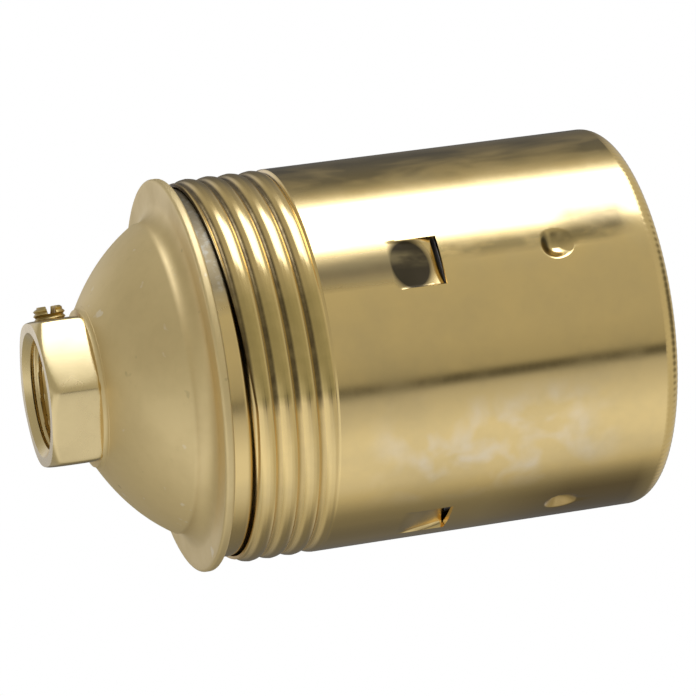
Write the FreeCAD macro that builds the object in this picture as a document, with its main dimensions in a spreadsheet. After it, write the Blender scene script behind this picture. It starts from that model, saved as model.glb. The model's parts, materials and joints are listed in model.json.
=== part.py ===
"""Brass Edison-screw (E27) lamp holder with a half-inch threaded entry.

Frame: millimetres, the axis is Z, Z = 0 is the mouth's rim and the entry points up. The cap is on
top, the skirt (the shell) hangs under it, and the porcelain interior sits inside the skirt.
"""
import FreeCAD
import Part
import Sketcher

import math
import os

doc = FreeCAD.newDocument("LampHolder")
VECTOR = FreeCAD.Vector

# ---------------------------------------------------------------- driving sizes (millimetres, degrees)
SIZES = (
    ("sheet", 0.5, "wall of the drawn skirt"),
    ("skirt_room", 6.35, "from the E27 sleeve's outside to the skirt's outside"),
    ("lip_bend", 1.7, "outer bend radius of the turned-in mouth"),
    ("lip_turn", 2.6, "the mouth is turned in this far"),
    ("edge_gap_low", 2.6, "cap's flange above the skirt's trimmed edge, low side"),
    ("edge_gap_high", 1.3, "cap's flange above the skirt's trimmed edge, high side"),
    ("edge_angle", -15.0, "direction of the edge's high side"),
    ("thread_zone", 11.0, "rolled thread starts this far below the cap's flange"),
    ("thread_turn", 50.0, "direction where the rolled valley starts"),
    ("thread_pitch", 2.25, "rolled thread of skirt and cap"),
    ("thread_depth", 0.38, "crest to valley, outside"),
    ("valley_width", 1.15, "width of the rolled valley"),
    ("tab_angle", 23.5, "direction of the first lanced tab"),
    ("tab_count", 4, "lanced tabs, and dimples, round the skirt"),
    ("window_length", 5.1, "window, along the axis"),
    ("window_width", 5.4, "window, round the skirt"),
    ("tab_push", 1.6, "free end of a tab is pressed in this much"),
    ("tab_shear", 0.2, "sheared gap each side of a tab"),
    ("tab_end_gap", 0.6, "gap between a tab's free end and the window's cut edge"),
    ("dimple_rise", 10.6, "centre of the dimples above the porcelain ring's foot"),
    ("dimple_radius", 2.1, "dimple at the skirt's surface"),
    ("dimple_floor", 0.8, "radius of a dimple's flat bottom"),
    ("dimple_depth", 1.0, "dimple, pressed in"),
    ("liner_length", 22.4, "porcelain ring, along the axis"),
    ("liner_gap", 0.75, "between the sleeve and the porcelain ring"),
    ("seat_gap", 0.3, "clearance between pieces that seat on each other"),
    ("touch_gap", 0.02, "clearance under screw heads, washers and nuts"),
    ("turn_gap", 0.35, "radial clearance of pieces that turn in the skirt"),
    ("spigot_length", 11.7, "cap's spigot below the flange"),
    ("spigot_wall", 1.7, "cap's spigot"),
    ("key_width", 3.4, "slots in the spigot that key the porcelain"),
    ("key_depth", 2.6, "slots in the spigot, along the axis"),
    ("flange_thick", 1.0, "cap's flange"),
    ("flange_reach", 0.4, "cap's flange beyond the skirt, on the radius"),
    ("flange_round", 0.3, "broken upper edge of the flange"),
    ("flange_fillet", 1.9, "slope between flange and dome"),
    ("dome_inset", 3.9, "the dome's foot lies this far inside the skirt's radius"),
    ("dome_rise", 7.0, "dome, along the axis"),
    ("dome_fullness", 0.65, "how far out the dome's curve is pulled, 0 at the neck and 1 at its foot"),
    ("dome_lift", 0.6, "how high the dome's curve is pulled, 0 at its foot and 1 at the neck"),
    ("dome_wall", 1.4, "wall of the dome"),
    ("neck_length", 5.6, "hexagonal neck"),
    ("neck_flats", 15.1, "hexagon across its flats"),
    ("neck_chamfer", 0.8, "height of the chamfers on the hexagon's corners"),
    ("entry_minor", 11.46, "half-inch entry thread, minor diameter"),
    ("entry_mouth", 12.9, "countersunk mouth of the entry"),
    ("grub_thread", 3.3, "locking screw"),
    ("grub_length", 3.0, "locking screw"),
    ("grub_proud", 1.3, "locking screw stands out of the flat"),
    ("grub_drop", 2.5, "axis of the locking screw below the neck's top"),
    ("slot_width", 0.8, "slots of all the screws"),
    ("slot_depth", 0.7, "slots of all the screws"),
    ("thread_gap", 0.05, "radial clearance of a screw in its hole"),
    ("sleeve_minor", 24.3, "E27 sleeve, crests inside"),
    ("sleeve_wall", 1.5, "E27 sleeve, crests inside to crests outside"),
    ("sleeve_sheet", 0.45, "E27 sleeve's sheet, seen at its turned-in floor"),
    ("sleeve_plain", 4.9, "sleeve's plain end behind its thread"),
    ("sleeve_recess", 2.0, "sleeve's open end above the foot of the porcelain ring"),
    ("floor_ring", 3.65, "sleeve's turned-in floor, on the radius"),
    ("base_length", 5.9, "porcelain base below its shoulder"),
    ("tower_half", 11.9, "porcelain tower that rises in the cap, half of its side"),
    ("tower_length", 7.2, "porcelain tower, along the axis"),
    ("pocket_floor", 1.0, "floor of the terminal pockets above the shoulder"),
    ("pocket_width", 8.4, "terminal pockets"),
    ("pocket_start", 2.4, "terminal pockets start this far from the axis"),
    ("terminal_beyond", 2.2, "pillar terminals reach this far beyond the sleeve screws' radius"),
    ("terminal_width", 7.0, "pillar terminals, across"),
    ("terminal_height", 6.0, "pillar terminals"),
    ("terminal_clamp", 3.85, "clamping screws' axis above the foot of the pillars"),
    ("terminal_tap", 2.0, "depth of the tapped holes in the pillars' feet"),
    ("wire_hole", 3.0, "pillar terminals, hole for the wire"),
    ("screw_thread", 3.0, "clamping screws and the leaf's screw"),
    ("screw_head", 4.8, "clamping screws and the leaf's screw, head"),
    ("head_height", 1.5, "heads of all the inner screws"),
    ("sleeve_screw_thread", 2.5, "sleeve screws"),
    ("sleeve_screw_head", 4.0, "sleeve screws, head"),
    ("sleeve_screw_inset", 1.65, "sleeve screws lie this far inside the sleeve's crests"),
    ("sleeve_screw_turn", 60.0, "direction of the sleeve screw with the nut"),
    ("nut_side", 5.0, "square nut"),
    ("nut_height", 2.2, "square nut"),
    ("leaf_inset", 0.9, "leaf's heel inside the bore of the sleeve's floor"),
    ("leaf_room", 0.8, "free height between the leaf's root and the porcelain"),
    ("leaf_width", 5.0, "contact leaf"),
    ("leaf_sheet", 0.5, "contact leaf"),
    ("leaf_drop", 2.8, "the leaf's tip hangs this far below its root"),
    ("leaf_tip_start", 0.8, "flat tip of the leaf starts this far from the axis"),
    ("leaf_tip_end", 3.2, "flat tip of the leaf ends this far beyond the axis"),
    ("leaf_nose", 0.9, "turned-up end of the leaf's tip"),
    ("washer_room", 0.8, "earth washer's corners clear of the dome's inside"),
    ("earth_boss", 3.2, "radius of the earth boss"),
    ("earth_boss_hang", 2.0, "earth boss hangs this far below the dome's foot"),
    ("earth_thread", 3.4, "earth screw"),
    ("earth_head", 5.8, "earth screw, head"),
    ("earth_length", 4.2, "earth screw in its boss"),
    ("washer_side", 6.6, "square earth washer"),
    ("washer_sheet", 0.8, "square earth washer"),
)

sheet = doc.addObject("Spreadsheet::Sheet", "Size")
for row, (name, value, meaning) in enumerate(SIZES, start=1):
    sheet.set(f"A{row}", name)
    sheet.set(f"B{row}", str(value))
    sheet.set(f"C{row}", meaning)
    sheet.setAlias(f"B{row}", name)
doc.recompute()


def size(expression):
    """The number that an expression of the sheet's cells gives."""
    value = sheet.evalExpression(expression)
    return float(getattr(value, "Value", value))


def bind(item, **expressions):
    """Set properties of an object from expressions; __ in a name stands for a dot."""
    for key, expression in expressions.items():
        item.setExpression(key.replace("__", "."), expression)


# ---------------------------------------------------------------- places that several pieces share
# radii, from the E27 sleeve outwards
sleeve_bore = "(Size.sleeve_minor / 2)"
sleeve_outer = f"({sleeve_bore} + Size.sleeve_wall)"
floor_bore = f"({sleeve_bore} - Size.floor_ring)"
sleeve_screw_radius = f"({sleeve_bore} - Size.sleeve_screw_inset)"
leaf_heel = f"({floor_bore} - Size.leaf_inset)"
contact_screw_radius = f"({leaf_heel} - Size.screw_head / 2)"
shell_radius = f"({sleeve_outer} + Size.skirt_room)"
inner_radius = f"({shell_radius} - Size.sheet)"
lip_radius = f"({shell_radius} - Size.lip_turn)"
liner_radius = f"({inner_radius} - Size.dimple_depth - Size.seat_gap)"
liner_bore = f"({sleeve_outer} + Size.liner_gap)"
base_radius = f"({inner_radius} - Size.turn_gap)"
spigot_radius = f"({inner_radius} - Size.turn_gap)"
spigot_bore = f"({spigot_radius} - Size.spigot_wall)"
flange_radius = f"({shell_radius} + Size.flange_reach)"
dome_foot = f"({shell_radius} - Size.dome_inset)"
dome_bore = f"({dome_foot} - Size.dome_wall)"
washer_half = "(Size.washer_side / 2)"
earth_radius = f"(sqrt(({dome_bore} - Size.washer_room) ^ 2 - {washer_half} ^ 2) - {washer_half})"
neck_corner = "(Size.neck_flats / 2 / cos(30))"
terminal_start = "(Size.pocket_start + Size.seat_gap)"
terminal_end = f"({sleeve_screw_radius} + Size.terminal_beyond)"
wire_place = f"(({terminal_start} + {terminal_end}) / 2)"

# heights, from the mouth upwards
liner_foot = "(Size.sheet + Size.seat_gap)"
liner_top = f"({liner_foot} + Size.liner_length)"
dimple_height = f"({liner_foot} + Size.dimple_rise)"
sleeve_mouth = f"({liner_foot} + Size.sleeve_recess)"
window_low = f"({liner_top} + Size.seat_gap)"
window_high = f"({window_low} + Size.window_length)"
base_foot = f"({window_high} + Size.sheet + Size.seat_gap)"
sleeve_top = f"({base_foot} - Size.touch_gap)"
sleeve_floor = f"({sleeve_top} - Size.sleeve_sheet)"
leaf_top = f"({sleeve_top} - Size.leaf_room)"
shoulder = f"({base_foot} + Size.base_length)"
spigot_foot = f"({shoulder} + Size.seat_gap)"
tower_top = f"({shoulder} + Size.tower_length)"
pocket_foot = f"({shoulder} + Size.pocket_floor)"
terminal_foot = f"({pocket_foot} + Size.touch_gap)"
terminal_clamp = f"({terminal_foot} + Size.terminal_clamp)"
flange_foot = f"({spigot_foot} + Size.spigot_length)"
flange_top = f"({flange_foot} + Size.flange_thick)"
thread_start = f"({flange_foot} - Size.thread_zone)"
edge_low = f"({flange_foot} - Size.edge_gap_low)"
edge_high = f"({flange_foot} - Size.edge_gap_high)"
dome_foot_height = f"({flange_top} + Size.flange_fillet)"
earth_boss_foot = f"({dome_foot_height} - Size.earth_boss_hang)"
neck_foot = f"({dome_foot_height} + Size.dome_rise)"
ceiling = f"({neck_foot} - Size.dome_wall)"
neck_top = f"({neck_foot} + Size.neck_length)"
grub_height = f"({neck_top} - Size.grub_drop)"


def tapped(thread):
    """Radius of a tapped hole for a screw."""
    return f"({thread} / 2 + Size.thread_gap)"


def clear(thread):
    """Radius of a clearance hole for a screw."""
    return f"({thread} / 2 + Size.seat_gap)"


# ---------------------------------------------------------------- drawing aids
def origin_feature(body, role):
    """A body's own origin plane or axis."""
    return [feature for feature in body.Origin.OriginFeatures if feature.Role == role][0]


def new_sketch(body, name, role, rise="0", turn="0"):
    """A sketch on an origin plane, moved out along its normal and turned about the part's axis."""
    sketch = body.newObject("Sketcher::SketchObject", name)
    sketch.AttachmentSupport = [(origin_feature(body, role), "")]
    sketch.MapMode = "FlatFace"
    spin = VECTOR(0, 0, 1) if role == "XY_Plane" else VECTOR(0, 1, 0)
    angle = size(turn)
    if angle:
        sketch.AttachmentOffset = FreeCAD.Placement(VECTOR(), FreeCAD.Rotation(spin, angle))
        bind(sketch, AttachmentOffset__Rotation__Angle=turn)
    if rise != "0":
        bind(sketch, AttachmentOffset__Base__z=rise)
    return sketch


def tie_point(sketch, geometry, end, point):
    """Hold one end of a line or arc at a point given by two expressions."""
    for kind, axis, expression in (("DistanceX", -2, point[0]), ("DistanceY", -1, point[1])):
        if expression == "0":
            sketch.addConstraint(Sketcher.Constraint("PointOnObject", geometry, end, axis))
        else:
            held = Sketcher.Constraint(kind, -1, 1, geometry, end, size(expression))
            index = sketch.addConstraint(held)
            sketch.setExpression(f"Constraints[{index}]", expression)


def arc_between(start, finish, radius, side):
    """The short arc from start to finish; its centre lies left of that way for side 1, right for -1."""
    chord = finish - start
    half = chord.Length / 2
    left = VECTOR(-chord.y, chord.x, 0).normalize()
    centre = start + chord * 0.5 + left * (side * math.sqrt(radius * radius - half * half))
    first = math.atan2(start.y - centre.y, start.x - centre.x)
    last = math.atan2(finish.y - centre.y, finish.x - centre.x)
    circle = Part.Circle(centre, VECTOR(0, 0, 1), radius)
    if side > 0:
        return Part.ArcOfCircle(circle, first, last)
    return Part.ArcOfCircle(circle, last, first)


def outline(sketch, points, arcs=None):
    """A closed outline through points; arcs gives {index: (radius, side)} for the stretch after a point."""
    arcs = arcs or {}
    places = [VECTOR(size(x), size(y), 0) for x, y in points]
    count = len(points)
    ends = []
    for index, start in enumerate(places):
        finish = places[(index + 1) % count]
        if index in arcs:
            radius, side = arcs[index]
            geometry = sketch.addGeometry(arc_between(start, finish, size(radius), side), False)
            ends.append((geometry, 1, 2) if side > 0 else (geometry, 2, 1))
            held = sketch.addConstraint(Sketcher.Constraint("Radius", geometry, size(radius)))
            sketch.setExpression(f"Constraints[{held}]", radius)
        else:
            geometry = sketch.addGeometry(Part.LineSegment(start, finish), False)
            ends.append((geometry, 1, 2))
    for index, (geometry, first, last) in enumerate(ends):
        following, next_first, _ = ends[(index + 1) % count]
        sketch.addConstraint(Sketcher.Constraint("Coincident", geometry, last, following, next_first))
        tie_point(sketch, geometry, first, points[index])
    return sketch


def quarter(centre, radius, first, last, steps):
    """Points along an arc of a circle from one angle to another, ends included."""
    points = []
    for step in range(steps + 1):
        angle = first + (last - first) * step / steps
        points.append((f"{centre[0]} + {radius} * cos({angle})", f"{centre[1]} + {radius} * sin({angle})"))
    return points


def pulled_curve(start, pull, finish, steps):
    """Points along the parabola from start to finish that a third point pulls out, ends included."""
    points = []
    for step in range(steps + 1):
        along = step / steps
        shares = ((1 - along) ** 2, 2 * along * (1 - along), along ** 2)
        points.append(tuple(
            " + ".join(f"({point[way]}) * {share}" for point, share in zip((start, pull, finish), shares))
            for way in (0, 1)))
    return points


def rectangle(sketch, left, right, low, high):
    """A rectangle between two places along each way."""
    return outline(sketch, [(left, low), (right, low), (right, high), (left, high)])


def circle(sketch, across, along, radius):
    """A circle about a point given by two expressions."""
    centre = VECTOR(size(across), size(along), 0)
    ring = Part.Circle(centre, VECTOR(0, 0, 1), size(radius))
    geometry = sketch.addGeometry(ring, False)
    tie_point(sketch, geometry, 3, (across, along))
    held = sketch.addConstraint(Sketcher.Constraint("Radius", geometry, size(radius)))
    sketch.setExpression(f"Constraints[{held}]", radius)
    return sketch


def new_body(name):
    body = doc.addObject("PartDesign::Body", name)
    body.Label = name
    return body


def feature(body, kind, name, sketch, **settings):
    """Add a feature made from a sketch; text settings are expressions, the others are plain values."""
    item = body.newObject(f"PartDesign::{kind}", name)
    item.Profile = sketch
    for key, value in settings.items():
        if isinstance(value, str) and key in ("Length", "Length2", "Angle", "Pitch", "Height", "Turns"):
            item.setExpression(key, value)
        else:
            setattr(item, key, value)
    sketch.Visibility = False
    return item


def revolved(body, name, points, arcs=None, kind="Revolution", turn="0"):
    """A solid or a groove turned about the part's axis from a half section (radius, height)."""
    sketch = outline(new_sketch(body, f"{name}Section", "XZ_Plane", turn=turn), points, arcs)
    return feature(body, kind, name, sketch, ReferenceAxis=(sketch, ["V_Axis"]), Angle="360")


def cut_hole(body, name, across, along, radius, low, high, turn="0"):
    """A round hole along Z between two heights."""
    sketch = circle(new_sketch(body, f"{name}Circle", "XY_Plane", rise=low, turn=turn),
                    across, along, radius)
    return feature(body, "Pocket", name, sketch, Length=f"{high} - {low}", Reversed=True)


def box_cut(body, name, left, right, low, high, foot, top, turn="0"):
    """A rectangular pocket between two heights; left..high lie in the XY plane."""
    sketch = rectangle(new_sketch(body, f"{name}Frame", "XY_Plane", rise=foot, turn=turn),
                       left, right, low, high)
    return feature(body, "Pocket", name, sketch, Length=f"{top} - {foot}", Reversed=True)


def round_pattern(body, name, originals, count):
    """Repeat features evenly about the part's axis, all the way round."""
    pattern = body.newObject("PartDesign::PolarPattern", name)
    pattern.Originals = originals
    pattern.Axis = (origin_feature(body, "Z_Axis"), [""])
    pattern.Angle = 360
    if isinstance(count, str):
        bind(pattern, Occurrences=count)
    else:
        pattern.Occurrences = count
    body.Tip = pattern
    return pattern


# ---------------------------------------------------------------- shell: the rolled skirt
def make_shell():
    """Drawn skirt: lip, lanced tabs, dimples, rolled thread and slanting edge. Tabs start on its X axis."""
    body = new_body("shell")
    top = f"({edge_high} + Size.sheet)"
    bend_centre = (f"({shell_radius} - Size.lip_bend)", "Size.lip_bend")
    revolved(body, "Wall", [
        (lip_radius, "0"),
        *quarter(bend_centre, "Size.lip_bend", -90, 0, 2),
        (shell_radius, top),
        (inner_radius, top),
        *quarter(bend_centre, "(Size.lip_bend - Size.sheet)", 0, -90, 1),
        (lip_radius, "Size.sheet"),
    ])

    # a lanced tab: its window, and the strip that bends in towards the mouth
    tab_width = "(Size.window_width - 2 * Size.tab_shear)"
    window = new_sketch(body, "WindowFrame", "YZ_Plane")
    rectangle(window, "-Size.window_width / 2", "Size.window_width / 2", window_low, window_high)
    cut = feature(body, "Pocket", "Window", window, Length=f"2 * {shell_radius}", Reversed=True)
    round_pattern(body, "Windows", [cut], "Size.tab_count")
    root_radius = f"(sqrt({shell_radius} ^ 2 - ({tab_width} / 2) ^ 2) - Size.sheet / 8)"
    root = f"({window_high} + Size.sheet)"
    drop = f"({root} - {window_low} - Size.tab_end_gap)"
    bend = f"(({drop} ^ 2 + Size.tab_push ^ 2) / (2 * Size.tab_push))"
    strip = new_sketch(body, "TabSection", "XZ_Plane")
    outline(strip, [
        (root_radius, root),
        (f"{root_radius} - Size.sheet", root),
        (f"{root_radius} - {bend} + ({bend} - Size.sheet) * ({bend} - Size.tab_push) / {bend}",
         f"{root} - ({bend} - Size.sheet) * {drop} / {bend}"),
        (f"{root_radius} - Size.tab_push", f"{root} - {drop}"),
    ], {1: (f"{bend} - Size.sheet", -1), 3: (bend, 1)})
    tab = feature(body, "Pad", "Tab", strip, Length=tab_width, Midplane=True)
    round_pattern(body, "Tabs", [tab], "Size.tab_count")

    # a dimple: a boss inside the sheet, and a cone pressed into it from outside
    boss_top = f"({inner_radius} + Size.sheet / 4)"
    boss_face = f"({inner_radius} - Size.dimple_depth)"
    boss = circle(new_sketch(body, "BumpCircle", "YZ_Plane", rise=boss_face),
                  "0", dimple_height, "((Size.dimple_radius + Size.dimple_floor + Size.sheet) / 2)")
    bump = feature(body, "Pad", "Bump", boss, Length=f"{boss_top} - {boss_face}")
    round_pattern(body, "Bumps", [bump], "Size.tab_count")
    cone_top = f"({shell_radius} + Size.sheet / 8)"
    cone = new_sketch(body, "HollowSection", "XZ_Plane")
    outline(cone, [
        (f"{cone_top} - Size.dimple_depth", dimple_height),
        (cone_top, dimple_height),
        (cone_top, f"{dimple_height} + Size.dimple_radius"),
        (f"{cone_top} - Size.dimple_depth", f"{dimple_height} + Size.dimple_floor"),
    ])
    hollow = feature(body, "Groove", "Hollow", cone, ReferenceAxis=(cone, ["Edge1"]), Angle="360")
    round_pattern(body, "Hollows", [hollow], "Size.tab_count")

    # the rolled valley runs up right-handed and off the trimmed edge
    valley = new_sketch(body, "ValleySection", "XZ_Plane", turn="Size.thread_turn - Size.tab_angle")
    overshoot = 0.3
    outside = f"{shell_radius} + Size.thread_depth * {overshoot}"
    outline(valley, [
        (f"{shell_radius} - Size.thread_depth", f"{thread_start} + Size.valley_width / 2"),
        (outside, f"{thread_start} - Size.valley_width * {overshoot / 2}"),
        (outside, f"{thread_start} + Size.valley_width * {1 + overshoot / 2}"),
    ])
    feature(body, "SubtractiveHelix", "Valley", valley, ReferenceAxis=(valley, ["V_Axis"]),
            Mode=0, Pitch="Size.thread_pitch", Height=f"{top} - {thread_start}")

    # the edge is trimmed level on one side and slants up on the other
    trim = new_sketch(body, "TrimFrame", "XZ_Plane", turn="Size.edge_angle - Size.tab_angle")
    reach = f"(2 * {shell_radius})"
    above = f"(2 * {edge_high})"
    outline(trim, [
        (f"-{reach}", edge_low),
        ("0", edge_low),
        (reach, f"{edge_low} + 2 * ({edge_high} - {edge_low})"),
        (reach, above),
        (f"-{reach}", above),
    ])
    feature(body, "Pocket", "Trim", trim, Length=f"2 * {reach}", Midplane=True)

    body.Placement = FreeCAD.Placement(VECTOR(), FreeCAD.Rotation(VECTOR(0, 0, 1), size("Size.tab_angle")))
    bind(body, Placement__Rotation__Angle="Size.tab_angle")
    return body


def make_mouth_liner():
    """Porcelain ring between the lip and the tabs, centred by the dimples."""
    body = new_body("mouth_liner")
    revolved(body, "Ring", [
        (liner_bore, liner_foot),
        (liner_radius, liner_foot),
        (liner_radius, liner_top),
        (liner_bore, liner_top),
    ])
    return body


# ---------------------------------------------------------------- cap: dome, neck, flange and spigot
DOME_STEPS = 3
dome_pull = (f"({neck_corner} + ({dome_foot} - {neck_corner}) * Size.dome_fullness)",
             f"({dome_foot_height} + Size.dome_rise * Size.dome_lift)")
dome_curve = pulled_curve((dome_foot, dome_foot_height), dome_pull, (neck_corner, neck_foot), DOME_STEPS)


def make_dome_core(name):
    """The cap's outer form above the flange, filled: what the earth boss is trimmed by."""
    body = new_body(name)
    revolved(body, f"{name}Form", [
        ("0", flange_top),
        (dome_foot, flange_top),
        *dome_curve,
        ("0", neck_foot),
    ])
    return body


def make_cap():
    """One hot stamping: spigot, flange, dome and hexagonal neck with its bore."""
    body = new_body("cap_form")
    bore = "(Size.entry_minor / 2)"
    revolved(body, "Dome", [
        (spigot_bore, spigot_foot),
        (spigot_radius, spigot_foot),
        (spigot_radius, flange_foot),
        (flange_radius, flange_foot),
        (flange_radius, f"{flange_top} - Size.flange_round"),
        (f"{flange_radius} - Size.flange_round", flange_top),
        (f"{dome_foot} + Size.flange_fillet", flange_top),
        *dome_curve,
        (bore, neck_foot),
        (bore, ceiling),
        (f"({neck_corner} - Size.dome_wall / 2)", ceiling),
        (dome_bore, dome_foot_height),
        (dome_bore, flange_foot),
        (spigot_bore, flange_foot),
    ])

    # the hexagon grows out of the dome, with two flats square to X
    hexagon = new_sketch(body, "HexagonFrame", "XY_Plane", rise=ceiling)
    half = "(Size.neck_flats / 2)"
    side = "(Size.neck_flats / 2 * tan(30))"
    outline(hexagon, [
        (half, f"-{side}"), (half, side), ("0", neck_corner),
        (f"-{half}", side), (f"-{half}", f"-{side}"), ("0", f"-{neck_corner}"),
    ])
    feature(body, "Pad", "Hexagon", hexagon, Length=f"{neck_top} - {ceiling}")
    beyond = f"({neck_corner} + Size.neck_chamfer)"
    slope = f"Size.neck_chamfer * ({beyond} - {half}) / ({neck_corner} - {half})"
    revolved(body, "TopChamfer", [
        (half, neck_top),
        (beyond, f"{neck_top} - {slope}"),
        (beyond, neck_top),
    ], kind="Groove")
    revolved(body, "FootChamfer", [
        (half, neck_foot),
        (beyond, neck_foot),
        (beyond, f"{neck_foot} + {slope}"),
    ], kind="Groove")
    cut_hole(body, "EntryBore", "0", "0", bore, ceiling, f"({neck_top} + 1)")
    revolved(body, "EntryMouth", [
        ("0", f"{neck_top} - (Size.entry_mouth / 2 - {bore})"),
        (bore, f"{neck_top} - (Size.entry_mouth / 2 - {bore})"),
        ("Size.entry_mouth / 2", neck_top),
        ("Size.entry_mouth / 2", f"{neck_top} + 1"),
        ("0", f"{neck_top} + 1"),
    ], kind="Groove")

    # tapped hole of the locking screw, through the neck's wall on the X side
    locking = circle(new_sketch(body, "LockingHoleCircle", "YZ_Plane"),
                     "0", grub_height, tapped("Size.grub_thread"))
    feature(body, "Pocket", "LockingHole", locking, Length="Size.neck_flats", Reversed=True)

    # two slots in the spigot's edge key the porcelain
    slot = box_cut(body, "KeySlot", f"{spigot_bore} - 1", f"{spigot_radius} + 1",
                   "-Size.key_width / 2", "Size.key_width / 2",
                   f"({spigot_foot} - 1)", f"({spigot_foot} + Size.key_depth)", turn="90")
    round_pattern(body, "KeySlots", [slot], 2)

    # the earth boss hangs from the dome inside, and is tapped from below
    boss = new_body("earth_boss_form")
    foot = circle(new_sketch(boss, "BossCircle", "XY_Plane", rise=earth_boss_foot),
                  f"-{earth_radius}", "0", "Size.earth_boss")
    feature(boss, "Pad", "Boss", foot, Length=f"{neck_foot} - {earth_boss_foot}")
    core = make_dome_core("dome_core")
    trimmed = doc.addObject("Part::Common", "TrimmedBoss")
    trimmed.Base = boss
    trimmed.Tool = core
    joined = doc.addObject("Part::Fuse", "CapWithBoss")
    joined.Base = body
    joined.Tool = trimmed
    joined.Refine = True
    hole = doc.addObject("Part::Cylinder", "EarthHole")
    bind(hole, Radius=tapped("Size.earth_thread"),
         Height="Size.earth_length + Size.seat_gap",
         Placement__Base__x=f"-{earth_radius}",
         Placement__Base__z=earth_boss_foot)
    cap = doc.addObject("Part::Cut", "Cap")
    cap.Base = joined
    cap.Tool = hole
    cap.Refine = True
    cap.Label = "cap"
    return cap


# ---------------------------------------------------------------- screws
def make_screw(name, thread, length, head, place, tilt=None):
    """Cheese-head screw along +Z, the underside of its head at its origin, then placed and tilted."""
    body = new_body(name)
    shank_radius = f"({thread} / 2)"
    revolved(body, f"{name}Turned", [
        ("0", "-Size.head_height"),
        (f"{head} / 2", "-Size.head_height"),
        (f"{head} / 2", "0"),
        (shank_radius, "0"),
        (shank_radius, length),
        ("0", length),
    ])
    slot = new_sketch(body, f"{name}SlotFrame", "XY_Plane", rise="-Size.head_height")
    rectangle(slot, f"-{head}", head, "-Size.slot_width / 2", "Size.slot_width / 2")
    feature(body, "Pocket", f"{name}Slot", slot, Length="Size.slot_depth", Reversed=True)
    turn = FreeCAD.Rotation(*tilt) if tilt else FreeCAD.Rotation()
    body.Placement = FreeCAD.Placement(VECTOR(*(size(value) for value in place)), turn)
    bind(body, Placement__Base__x=place[0], Placement__Base__y=place[1], Placement__Base__z=place[2])
    return body


def make_locking_screw():
    """Headless slotted screw along X, its slotted end proud of the neck's flat."""
    body = new_body("locking_screw")
    radius = "(Size.grub_thread / 2)"
    revolved(body, "Grub", [
        ("0", "0"),
        (f"{radius} * 3 / 4", "0"),
        (radius, f"{radius} / 4"),
        (radius, f"Size.grub_length - {radius} / 6"),
        (f"{radius} * 5 / 6", "Size.grub_length"),
        ("0", "Size.grub_length"),
    ])
    slot = new_sketch(body, "GrubSlotFrame", "XY_Plane", rise="Size.grub_length - Size.slot_depth")
    rectangle(slot, "-Size.slot_width / 2", "Size.slot_width / 2", f"-2 * {radius}", f"2 * {radius}")
    feature(body, "Pocket", "GrubSlot", slot, Length="2 * Size.slot_depth", Reversed=True)
    start = "Size.neck_flats / 2 + Size.grub_proud - Size.grub_length"
    turn = FreeCAD.Rotation(VECTOR(0, 1, 0), 90)
    body.Placement = FreeCAD.Placement(VECTOR(size(start), 0, size(grub_height)), turn)
    bind(body, Placement__Base__x=start, Placement__Base__z=grub_height)
    return body


def make_earth_washer():
    """Square clamping washer under the earth screw's head."""
    body = new_body("earth_washer")
    foot = f"({earth_boss_foot} - Size.washer_sheet - Size.touch_gap)"
    plate = new_sketch(body, "WasherFrame", "XY_Plane", rise=foot)
    rectangle(plate, f"-{earth_radius} - {washer_half}", f"-{earth_radius} + {washer_half}",
              f"-{washer_half}", washer_half)
    feature(body, "Pad", "Washer", plate, Length="Size.washer_sheet")
    cut_hole(body, "WasherHole", f"-{earth_radius}", "0",
             clear("Size.earth_thread"), f"({foot} - 1)", earth_boss_foot)
    return body


# ---------------------------------------------------------------- porcelain block and its brass
def make_terminal_block():
    """Porcelain: round base with a shoulder and two keys, and a square tower with two pockets."""
    body = new_body("terminal_block")
    revolved(body, "Base", [
        ("0", base_foot),
        (base_radius, base_foot),
        (base_radius, shoulder),
        ("0", shoulder),
    ])
    square = new_sketch(body, "TowerFrame", "XY_Plane", rise=shoulder)
    rectangle(square, "-Size.tower_half", "Size.tower_half", "-Size.tower_half", "Size.tower_half")
    feature(body, "Pad", "Tower", square, Length="Size.tower_length")
    key_half = "(Size.key_width / 2 - Size.seat_gap)"
    key = new_sketch(body, "KeyFrame", "XY_Plane", rise=f"{shoulder} - 1", turn="90")
    rectangle(key, "Size.tower_half - 1", f"{spigot_radius} - Size.seat_gap", f"-{key_half}", key_half)
    lug = feature(body, "Pad", "Key", key, Length="Size.key_depth + 1 - Size.seat_gap")
    round_pattern(body, "Keys", [lug], 2)
    half = "(Size.pocket_width / 2)"
    beyond = f"(2 * {shell_radius})"
    pocket = box_cut(body, "Pocket", "Size.pocket_start", beyond, f"-{half}", half,
                     pocket_foot, f"({tower_top} + 1)")
    round_pattern(body, "Pockets", [pocket], 2)

    # the nut's own notch in the tower, and the screw holes through the base
    notch = "(Size.nut_side / 2 + Size.seat_gap)"
    box_cut(body, "NutNotch", f"{sleeve_screw_radius} - {notch}", beyond,
            f"-{notch}", notch, pocket_foot, f"({tower_top} + 1)", turn="Size.sleeve_screw_turn")
    through = clear("Size.sleeve_screw_thread")
    low = f"({base_foot} - 1)"
    high = f"({pocket_foot} + 1)"
    cut_hole(body, "NutScrewHole", sleeve_screw_radius, "0", through, low, high,
             turn="Size.sleeve_screw_turn")
    cut_hole(body, "NeutralScrewHole", f"-{sleeve_screw_radius}", "0", through, low, high)
    cut_hole(body, "ContactScrewHole", contact_screw_radius, "0", clear("Size.screw_thread"), low, high)
    return body


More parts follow.
